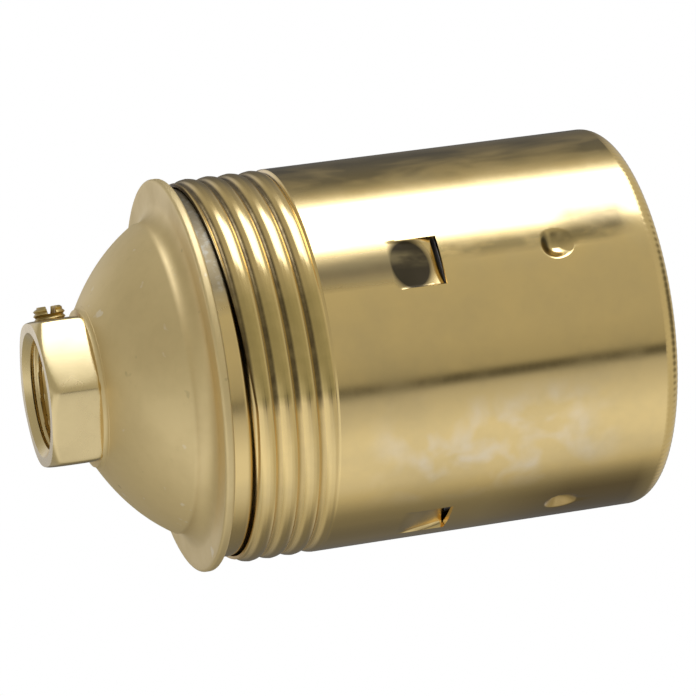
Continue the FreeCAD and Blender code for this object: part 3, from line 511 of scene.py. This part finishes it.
def make_shell_wall():
    """Plain part of the skirt, lip to thread, both faces, with the windows cut through."""
    angles = shell_angles()
    low = shell_foot + LIP_BEND
    heights = np.concatenate([
        np.linspace(low, DIMPLE_HEIGHT - 1.15 * DIMPLE_RADIUS, 8)[:-1],
        np.linspace(DIMPLE_HEIGHT - 1.15 * DIMPLE_RADIUS, DIMPLE_HEIGHT + 1.15 * DIMPLE_RADIUS, 34)[:-1],
        np.linspace(DIMPLE_HEIGHT + 1.15 * DIMPLE_RADIUS, WINDOW_LOW, 12)[:-1],
        [WINDOW_LOW],
        np.linspace(WINDOW_LOW + TAB_GAP, WINDOW_HIGH + 0.3 * MM, 56),
        np.linspace(WINDOW_HIGH + 0.3 * MM, THREAD_START, 9)[1:],
    ])
    angle, height = np.meshgrid(angles, heights)
    dip = tab_dip(angle, height) + dimple_dip(angle, height)
    across = tab_across(angle)
    end = smooth_step(WINDOW_LOW + 3 * MM, WINDOW_LOW + TAB_GAP, height)
    end = end * (height > WINDOW_LOW + 0.1 * TAB_GAP)
    height = height + np.where(np.abs(across) < 1, TAB_ASKEW * across * end, 0)
    outside = lathe_points(angles, shell_radius - dip, height)
    inside = lathe_points(angles, shell_bore - dip, height)
    rows, columns = height.shape
    gap_row = int(np.argmin(np.abs(heights - WINDOW_LOW)))
    cut = np.zeros((rows - 1, columns), bool)
    middle = angles + 0.5 * (np.roll(angles, -1) - angles)
    for index in range(TAB_COUNT):
        centre = math.radians(TAB_ANGLE) + index * TAU / TAB_COUNT
        cut[gap_row, np.abs(wrapped(middle - centre)) < WINDOW_HALF / shell_radius] = True
    count = rows * columns
    faces = ring_faces(rows, columns, 0, skip=cut)
    faces += [tuple(reversed(face)) for face in ring_faces(rows, columns, count, skip=cut)]
    for column in np.nonzero(cut[gap_row])[0]:
        after = (column + 1) % columns
        for row, order in ((gap_row, 1), (gap_row + 1, -1)):
            a, b = row * columns + column, row * columns + after
            face = (a, count + a, count + b, b)
            faces.append(face if order > 0 else face[::-1])
        for side, edge, order in ((column - 1, column, 1), (after, after, -1)):
            if not cut[gap_row, side % columns]:
                a, b = gap_row * columns + edge, (gap_row + 1) * columns + edge
                face = (a, b, count + b, count + a)
                faces.append(face if order > 0 else face[::-1])
    return mesh_object("shell_wall", np.concatenate([outside, inside]), faces, "shell",
                       rolled_brass, ("shell",))


def make_shell_thread():
    """Upper part of the skirt with the rolled thread, its slanting edge and its inner face."""
    angles = full_turn(288)
    rows = 150
    share = np.linspace(0, 1, rows)
    top = edge_height(angles)
    low = THREAD_START
    height = low + share[:, None] * (top[None, :] - low)
    angle = np.broadcast_to(angles, height.shape)
    fade = smooth_step(THREAD_START, THREAD_START + 0.3 * MM, height)
    outer = shell_radius - fade * thread_dip(angle, height)
    round_off = 0.12 * MM * smooth_step(-0.14 * MM, 0, height - top[None, :])
    outer = outer - round_off
    inner = shell_bore - 0.5 * fade * thread_dip(angle, height) + 0.12 * MM * fade
    inner = inner - 0.2 * MM * smooth_step(-0.5 * MM, 0, height - top[None, :])
    outside = lathe_points(angles, outer, height)
    inside = lathe_points(angles, inner, height)
    count = height.size
    columns = len(angles)
    faces = ring_faces(rows, columns)
    faces += [tuple(reversed(face)) for face in ring_faces(rows, columns, count)]
    last = (rows - 1) * columns
    for column in range(columns):
        after = (column + 1) % columns
        faces.append((last + column, last + after, count + last + after, count + last + column))
    return mesh_object("shell_thread", np.concatenate([outside, inside]), faces, "shell",
                       thread_brass)


def make_shell_lip():
    """Turned-in mouth with its fine upright serration from trimming."""
    teeth = 176
    angles = full_turn(teeth * 4)
    bend = (shell_radius - LIP_BEND, shell_foot + LIP_BEND)
    lip_end = (lip_radius, shell_foot)
    section = np.concatenate([
        arc(bend, LIP_BEND, 0, -90, 14),
        run((bend[0], shell_foot), lip_end, 4)[1:],
        arc((lip_radius, shell_foot + SHEET / 2), SHEET / 2, -90, -270, 6),
        run((lip_radius, shell_foot + SHEET), (bend[0], shell_foot + SHEET), 4)[1:],
        arc(bend, LIP_BEND - SHEET, -90, 0, 10),
    ])
    radius = np.repeat(section[:, :1], len(angles), 1)
    height = np.repeat(section[:, 1:], len(angles), 1)
    tick = 0.5 + 0.5 * np.cos(angles * teeth)
    band = smooth_step(1.6 * MM, 1.2 * MM, section[:, 1]) * (np.arange(len(section)) < 15)
    radius = radius - 0.045 * MM * band[:, None] * tick[None, :]
    points = lathe_points(angles, radius, height)
    faces = [face[::-1] for face in ring_faces(len(section), len(angles))]
    return mesh_object("shell_lip", points, faces, "shell", lip_brass)


make_shell_wall()
make_shell_thread()
make_shell_lip()


# ---------------------------------------------------------------- cap
def dome_profile():
    """Outline of the dome from the fillet above the flange to the neck."""
    start = np.array([16.1 * MM, DOME_FOOT_HEIGHT])
    pull = np.array([13.5, 54.4]) * MM
    finish = np.array([8.55 * MM, NECK_FOOT])
    share = np.linspace(0, 1, 41)[:, None]
    return (1 - share) ** 2 * start + 2 * share * (1 - share) * pull + share ** 2 * finish


def make_cap_dome():
    """Outside of the cap: rounded flange, its fillet, the dome and a small fillet at the neck."""
    angles = full_turn(256)
    fillet = arc((18.0 * MM, DOME_FOOT_HEIGHT), 1.9 * MM, 270, 180, 12)
    rim = 0.32 * MM
    section = np.concatenate([
        run((SPIGOT_RADIUS, FLANGE_FOOT), (FLANGE_RADIUS - rim, FLANGE_FOOT), 3),
        arc((FLANGE_RADIUS - rim, FLANGE_FOOT + rim), rim, -90, 0, 5),
        arc((FLANGE_RADIUS - rim, FLANGE_TOP - rim), rim, 0, 90, 5),
        run((FLANGE_RADIUS - rim, FLANGE_TOP), tuple(fillet[0]), 3)[1:],
        fillet[:-1],
        dome_profile(),
        arc((8.75 * MM, NECK_FOOT + 0.62 * MM), 0.62 * MM, 262, 190, 6)[1:],
        [(7.3 * MM, NECK_FOOT + 0.65 * MM)],
    ])
    radius = np.repeat(section[:, :1], len(angles), 1)
    height = np.repeat(section[:, 1:], len(angles), 1)
    points = lathe_points(angles, radius, height)
    faces = ring_faces(len(section), len(angles))
    return mesh_object("cap_dome", points, faces, "cap", cast_brass, ("cap",))


def soft_least(first, second, width):
    """The smaller of two values, blended over a width."""
    middle = 0.5 * (first + second)
    apart = first - second
    return middle - 0.5 * np.sqrt(apart * apart + width * width)


def hexagon_radius(angles):
    """Radius of a hexagon with two flats square to X, its flats a little crowned, its corners worn."""
    turn = (angles + math.pi / 6) % (math.pi / 3) - math.pi / 6
    crown = 0.13 * MM * (np.tan(turn) / math.tan(math.pi / 6)) ** 2
    near = NECK_HALF / np.cos(turn) - crown
    beyond = NECK_HALF / np.cos(math.pi / 3 - np.abs(turn)) - crown
    return soft_least(near, beyond, 0.36 * MM)


def make_cap_neck():
    """Hexagonal neck: chamfered ends, countersunk mouth, threaded bore, shallow seat round the screw."""
    angles = full_turn(720)
    corner = NECK_HALF / math.cos(math.pi / 6)
    chamfer = 0.8 * MM
    slope = (corner - NECK_HALF) / chamfer
    outside = np.concatenate([
        np.linspace(NECK_FOOT - 0.1 * MM, NECK_FOOT + 1.1 * MM, 20)[:-1],
        np.linspace(NECK_FOOT + 1.1 * MM, cap_top - 1.1 * MM, 30)[:-1],
        np.linspace(cap_top - 1.1 * MM, cap_top, 20),
    ])
    height = np.repeat(outside[:, None], len(angles), 1)
    flat = np.broadcast_to(hexagon_radius(angles), height.shape)
    top_cone = NECK_HALF + 0.1 * MM + (cap_top - height) * slope
    foot_cone = NECK_HALF + 0.15 * MM + np.abs(height - NECK_FOOT) * slope
    radius = soft_least(flat, soft_least(top_cone, foot_cone, 0.4 * MM), 0.42 * MM)
    across = np.abs(wrapped(angles))[None, :] * NECK_HALF
    away = np.hypot(across, height - (cap_top - 2.5 * MM))
    seat = np.where(np.abs(wrapped(angles))[None, :] < 0.5, 1 - smooth_step(1.72 * MM, 1.95 * MM, away), 0)
    radius = radius - 0.35 * MM * seat
    bore_height = np.linspace(cap_top - 0.72 * MM, NECK_FOOT - 1.6 * MM, 90)
    pitch = 25.4 / 26 * MM
    turn = bore_height[:, None] / pitch - angles[None, :] / TAU
    wave = np.abs((turn - np.round(turn)) * 2)
    fade = smooth_step(cap_top - 0.7 * MM, cap_top - 1.3 * MM, bore_height)[:, None]
    bore = ENTRY_RADIUS + 0.45 * MM * (1 - wave) * fade
    rim = radius[-1]
    sink_share = np.linspace(0, 1, 7)[1:, None]
    face_radius = rim[None, :] + (ENTRY_MOUTH - rim)[None, :] * sink_share
    face_height = np.repeat(np.full((6, 1), cap_top), len(angles), 1)
    sink_radius = ENTRY_MOUTH + (ENTRY_RADIUS - ENTRY_MOUTH) * sink_share * np.ones_like(angles)[None, :]
    sink_height = cap_top + (bore_height[0] - cap_top) * sink_share * np.ones_like(angles)[None, :]
    radius = np.concatenate([radius, face_radius, sink_radius, bore])
    height = np.concatenate([height, face_height, sink_height,
                             np.repeat(bore_height[:, None], len(angles), 1)])
    points = lathe_points(angles, radius, height)
    faces = ring_faces(len(height), len(angles))
    return mesh_object("cap_neck", points, faces, "cap", neck_brass)


def make_cap_inside():
    """Spigot with its rolled thread outside, and the cap's inner faces."""
    angles = full_turn(288)
    thread = np.linspace(FLANGE_FOOT, cap_foot, 130)
    height = np.repeat(thread[:, None], len(angles), 1)
    angle = np.broadcast_to(angles, height.shape)
    fade = smooth_step(FLANGE_FOOT - 1.4 * MM, FLANGE_FOOT - 2.0 * MM, height)
    fade = fade * smooth_step(cap_foot, cap_foot + 0.5 * MM, height)
    outer = SPIGOT_RADIUS - fade * 0.75 * thread_dip(angle, height)
    inner_section = np.concatenate([
        run((SPIGOT_RADIUS, cap_foot), (SPIGOT_BORE, cap_foot), 3)[1:],
        run((SPIGOT_BORE, cap_foot), (SPIGOT_BORE, FLANGE_FOOT), 12),
        run((SPIGOT_BORE, FLANGE_FOOT), (DOME_BORE, FLANGE_FOOT), 4),
        run((DOME_BORE, FLANGE_FOOT), (DOME_BORE, DOME_FOOT_HEIGHT), 4),
        run((DOME_BORE, DOME_FOOT_HEIGHT), (CEILING_RADIUS, CEILING_HEIGHT), 8),
        run((CEILING_RADIUS, CEILING_HEIGHT), (ENTRY_RADIUS, NECK_FOOT - 1.6 * MM), 4),
    ])
    radius = np.concatenate([outer, np.repeat(inner_section[:, :1], len(angles), 1)])
    height = np.concatenate([height, np.repeat(inner_section[:, 1:], len(angles), 1)])
    points = lathe_points(angles, radius, height)
    faces = [face[::-1] for face in ring_faces(len(height), len(angles))]
    return mesh_object("cap_spigot", points, faces, "cap", spigot_brass)


make_cap_dome()
make_cap_neck()
make_cap_inside()


# ---------------------------------------------------------------- sleeve and liner
def make_sleeve():
    """E27 sleeve: rolled sheet with the round Edison thread, and a turned-in floor of one layer."""
    angles = full_turn(240)
    bore = 12.15 * MM
    outer_limit = 13.6 * MM
    sheet = 0.4 * MM
    pitch = 25.4 / 7 * MM
    rows = np.linspace(sleeve_foot, sleeve_top - 0.6 * MM, 150)
    height = np.repeat(rows[:, None], len(angles), 1)
    turn = height / pitch - angles[None, :] / TAU
    wave = 0.5 + 0.5 * np.cos(turn * TAU)
    thread_top = sleeve_top - 4.0 * MM
    fade = smooth_step(thread_top, thread_top - 1.2 * MM, height)
    depth = outer_limit - sheet - bore
    inner = bore + depth * (1 - fade * (1 - wave))
    bend = arc((inner[-1, 0] - 0.3 * MM, sleeve_top - 0.6 * MM), 0.3 * MM, 0, 90, 4)[1:]
    floor = np.array([[8.5 * MM, sleeve_top - 0.45 * MM + 0.15 * MM]])
    section = np.concatenate([bend, floor])
    inner = np.concatenate([inner, np.repeat(section[:, :1], len(angles), 1)])
    height = np.concatenate([height, np.repeat(section[:, 1:], len(angles), 1)])
    inside = lathe_points(angles, inner, height)
    outside = lathe_points(angles, inner[:150] + sheet, height[:150])
    faces = [face[::-1] for face in ring_faces(len(height), len(angles))]
    count = height.size
    faces += ring_faces(150, len(angles), count)
    for column in range(len(angles)):
        after = (column + 1) % len(angles)
        faces.append((column, after, count + after, count + column))
    return mesh_object("sleeve_thread", np.concatenate([inside, outside]), faces, "interior",
                       sleeve_brass, ("threaded_sleeve",))


make_sleeve()


# ---------------------------------------------------------------- locking screw
def make_locking_screw():
    """Small headless screw: threaded, tapered at its ends, slotted outside; its inner end is left open."""
    low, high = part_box("locking_screw")
    length = high.x - low.x
    radius = (high.y - low.y) / 2
    angles = full_turn(96)
    pitch = 0.5 * MM
    along = np.linspace(0, length, 90)
    turn = along[:, None] / pitch - angles[None, :] / TAU
    wave = np.abs((turn - np.round(turn)) * 2)
    chamfer = 0.25 * MM
    cone = np.minimum(1, np.minimum(along + 0.0003, length - along + 0.0001) / (chamfer * 2.2))[:, None]
    body = (radius - 0.22 * MM * wave) * (0.72 + 0.28 * cone)
    end_share = np.linspace(0.95, 0.0, 12)[:, None]
    face = body[-1][None, :] * end_share
    radii = np.concatenate([body, face])
    places = np.concatenate([np.repeat(along[:, None], 96, 1), np.full((12, 96), length)])
    y = radii * np.cos(angles)
    z = radii * np.sin(angles)
    slot_half = 0.45 * MM
    slot_floor = length - 0.8 * MM
    x = np.where((np.abs(z) < slot_half) & (places > slot_floor), slot_floor, places)
    centre = (low.z + high.z) / 2
    points = np.stack([low.x + x, y, centre + z], -1).reshape(-1, 3)
    faces = ring_faces(len(radii), 96)
    return mesh_object("locking_screw_turned", points, faces, "locking_screw",
                       grub_brass, ("locking_screw",))


make_locking_screw()


# ---------------------------------------------------------------- finishes of the CAD pieces that stay
FINISHES = {
    "porcelain": porcelain,
    "screw_brass": screw_brass,
    "spring_brass": spring_brass,
    "sleeve_brass": sleeve_brass,
    "rolled_brass": rolled_brass,
    "polished_brass": neck_brass,
}
for subpart in frame["record"]["subparts"]:
    held = frame["nodes"][subpart["node"]]
    held.data.materials.clear()
    held.data.materials.append(FINISHES[subpart["material_slot"]])


# ---------------------------------------------------------------- floor, light and camera
def make_floor():
    """Plain pale floor; it shows white to the camera and isn't mirrored in the brass."""
    half = 1.5
    mesh = bpy.data.meshes.new("floor")
    mesh.from_pydata([(-half, -half, 0), (half, -half, 0), (half, half, 0), (-half, half, 0)],
                     [], [(0, 1, 2, 3)])
    floor = bpy.data.objects.new("floor", mesh)
    bpy.context.scene.collection.objects.link(floor)
    floor.location.z = cad_low.z - 0.1 * MM
    floor.visible_glossy = False
    floor.visible_shadow = False
    material = bpy.data.materials.new("floor_white")
    material.use_nodes = True
    tree = material.node_tree
    tree.nodes.clear()
    output = tree.nodes.new("ShaderNodeOutputMaterial")
    glow = add(tree, "ShaderNodeEmission", {"Color": (1, 1, 1, 1), "Strength": 1.0})
    tree.links.new(glow.outputs[0], output.inputs["Surface"])
    mesh.materials.append(material)


WARM = (1.0, 1.0, 1.0)
COOL = (1.0, 1.08, 1.42)
PALE = (1.0, 1.04, 1.22)
# direction round the axis, in degrees from the front towards the locking screw, its brightness and tint
BANDS = (
    (-180, 0.12, WARM), (-150, 0.15, WARM), (-120, 0.20, WARM), (-112, 0.24, WARM), (-104, 0.38, WARM),
    (-96, 0.56, WARM), (-88, 0.68, PALE), (-72, 0.82, PALE), (-56, 0.83, PALE), (-40, 0.62, PALE),
    (-30, 0.50, PALE), (-28, 0.40, PALE), (-26, 0.06, WARM), (-22, 0.06, WARM), (-20, 0.40, WARM),
    (0, 0.49, WARM), (40, 0.53, WARM), (56, 0.58, WARM), (61, 1.0, COOL), (64, 4.2, COOL),
    (97, 4.2, COOL), (100, 1.4, COOL), (106, 0.58, WARM), (112, 0.42, WARM), (120, 0.32, WARM),
    (136, 0.24, WARM), (150, 0.14, WARM), (165, 0.13, WARM), (180, 0.12, WARM),
)
CAP_SIDE = (
    (-180, 0.50, PALE), (-150, 0.36, WARM), (-110, 0.50, WARM), (-70, 0.98, PALE), (-30, 0.78, PALE),
    (-10, 0.50, WARM), (0, 0.46, WARM), (50, 0.44, WARM), (90, 0.44, WARM), (130, 0.42, WARM),
    (155, 0.75, PALE), (180, 0.95, PALE),
)


def band_ramp(tree, share, bands, brightest):
    """Colour by direction round the axis, as shares of the brightest."""
    return ramp(tree, share, [((angle + 180) / 360, tuple(value * part / brightest for part in tint))
                              for angle, value, tint in bands])


def make_world():
    """Studio of long soft boxes beside the skirt, and an even, dimmer one over the cap."""
    world = bpy.data.worlds.new("studio")
    bpy.context.scene.world = world
    world.use_nodes = True
    tree = world.node_tree
    tree.nodes.clear()
    output = tree.nodes.new("ShaderNodeOutputWorld")
    direction = add(tree, "ShaderNodeTexCoord").outputs["Generated"]
    parts = add(tree, "ShaderNodeSeparateXYZ", {0: direction})
    minus_y = maths(tree, "MULTIPLY", parts.outputs["Y"], -1.0)
    turn = maths(tree, "ARCTAN2", parts.outputs["X"], minus_y)
    share = maths(tree, "ADD", maths(tree, "DIVIDE", turn, TAU), 0.5)
    brightest = 1.5 * max(value for _, value, _ in BANDS)
    beside = band_ramp(tree, share, BANDS, brightest)
    over_cap = band_ramp(tree, share, CAP_SIDE, brightest)
    cap_share = between(tree, parts.outputs["Z"], -0.05, 0.20)
    glow = mix_colour(tree, cap_share, beside, over_cap)
    rim_share = between(tree, parts.outputs["Z"], -0.38, -0.62)
    glow = mix_colour(tree, rim_share, glow, tuple(0.56 * part / brightest for part in WARM) + (1.0,))
    mouth_share = between(tree, parts.outputs["Z"], -0.88, -0.99)
    glow = mix_colour(tree, mouth_share, glow, tuple(0.13 * part / brightest for part in WARM) + (1.0,))
    studio = add(tree, "ShaderNodeBackground", {"Color": glow, "Strength": brightest})
    white = add(tree, "ShaderNodeBackground", {"Color": (1, 1, 1, 1), "Strength": 1.0})
    path = add(tree, "ShaderNodeLightPath")
    chosen = add(tree, "ShaderNodeMixShader",
                 {0: path.outputs["Is Camera Ray"], 1: studio.outputs[0], 2: white.outputs[0]})
    tree.links.new(chosen.outputs[0], output.inputs["Surface"])


def make_camera():
    """Long lens in front and a little above, rolled so that the holder lies with its neck to the left."""
    lift = math.radians(15.1)
    back = Vector((0, -math.cos(lift), math.sin(lift)))
    upright = Vector((0, math.sin(lift), math.cos(lift)))
    roll = math.radians(97.94)
    across = Vector((1, 0, 0))
    right = math.cos(roll) * across - math.sin(roll) * upright
    up = back.cross(right)
    camera = bpy.data.objects.new("camera", bpy.data.cameras.new("camera"))
    bpy.context.scene.collection.objects.link(camera)
    camera.data.lens = 201.4
    camera.data.sensor_width = 36.0
    camera.data.clip_start = 0.01
    camera.data.clip_end = 10.0
    middle = Vector((0.4, 0, 29.45)) * MM
    turn = Matrix((right, up, back)).transposed().to_4x4()
    camera.matrix_world = Matrix.Translation(middle + 0.4060 * back) @ turn
    bpy.context.scene.camera = camera


make_floor()
make_world()
make_camera()
bpy.context.scene.view_settings.view_transform = "Standard"
